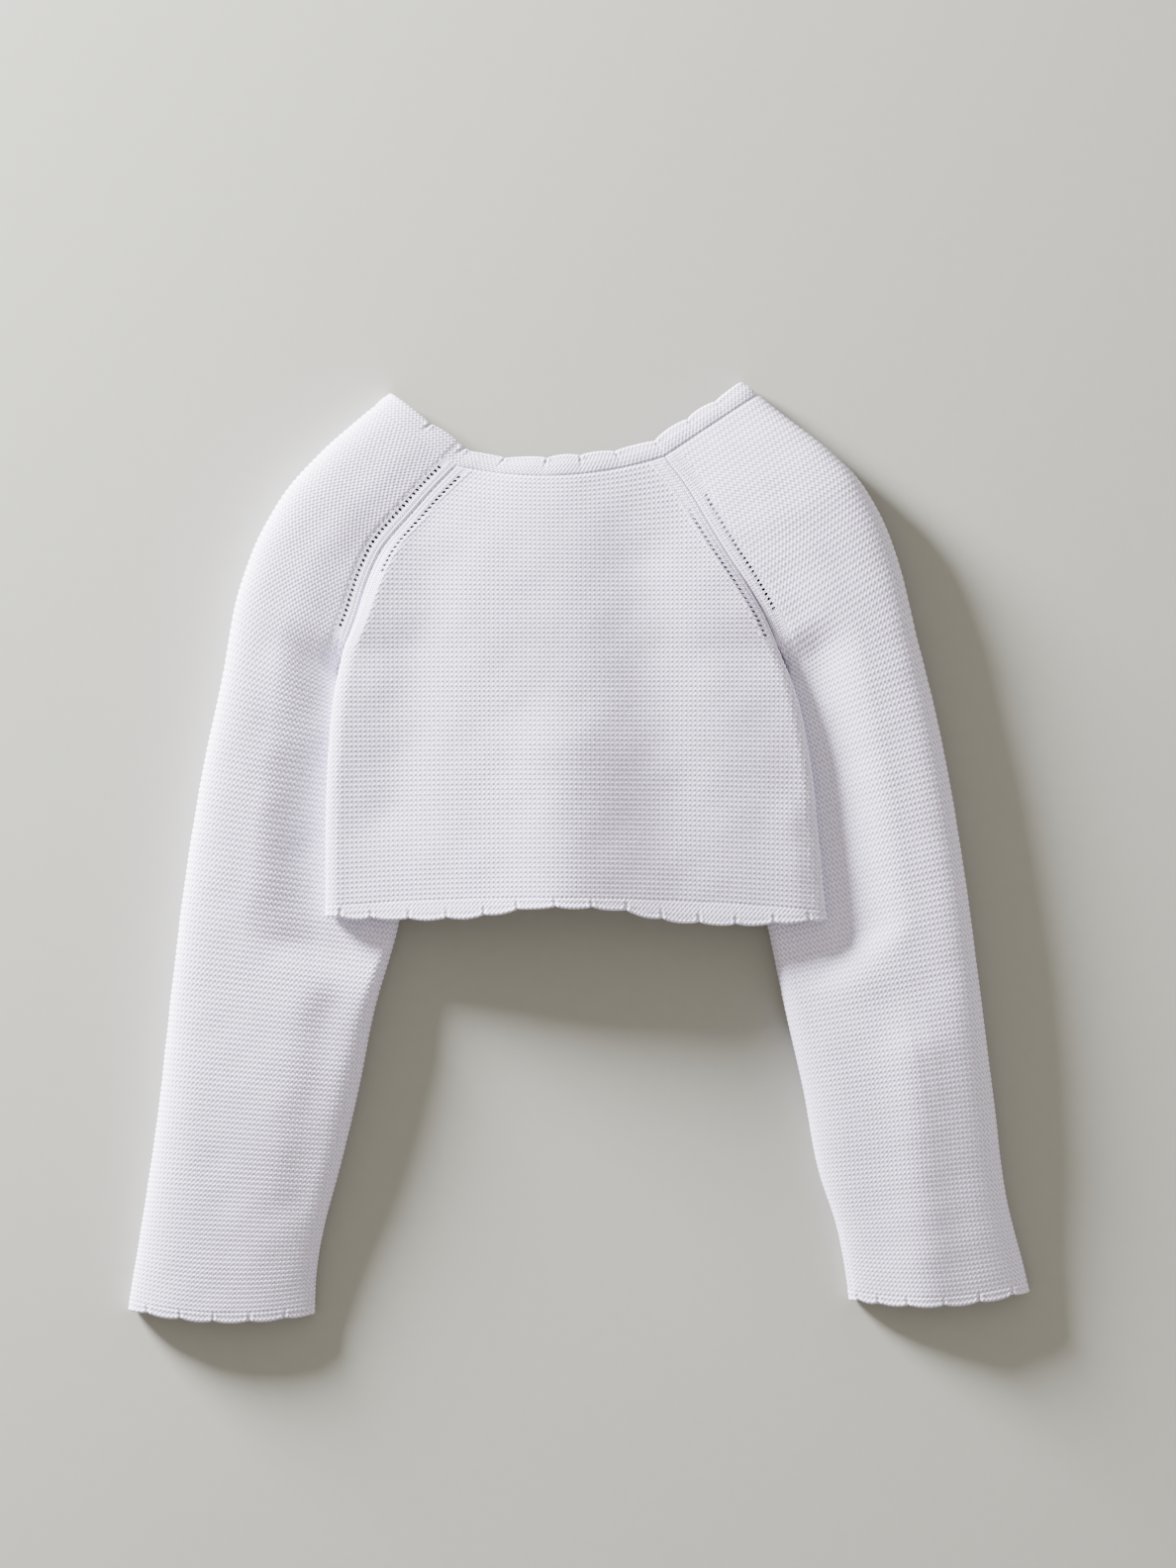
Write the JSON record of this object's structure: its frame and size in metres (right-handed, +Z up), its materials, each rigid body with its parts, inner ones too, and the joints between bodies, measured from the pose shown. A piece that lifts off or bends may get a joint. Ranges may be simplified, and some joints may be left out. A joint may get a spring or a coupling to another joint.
{
  "type": "raglan bolero cardigan",
  "caption": "Child's cropped raglan cardigan in white garter stitch with scalloped neck, hem and cuff borders, laid flat on its front with the back uppermost",
  "frame": {"origin": "under the middle of the garment's bounding box, on the surface that it lies on", "axes": "+Z up from the surface, +Y from the cuffs and hem towards the neck, +X towards the wearer's right sleeve, which is the right of the picture"},
  "size_m": [0.3818, 0.399, 0.0293],
  "materials": {
    "knit_white": "matte garter stitch in soft white cotton",
    "border_white": "matte scalloped border in soft white cotton"
  },
  "bodies": {
    "root": {"back": "knit_white", "front_left": "knit_white", "front_right": "knit_white", "sleeve_left": "knit_white", "sleeve_right": "knit_white", "neck_border": "border_white", "hem_border_back": "border_white", "hem_border_front_left": "border_white", "hem_border_front_right": "border_white", "cuff_border_left": "border_white", "cuff_border_right": "border_white"}
  },
  "joints": []
}
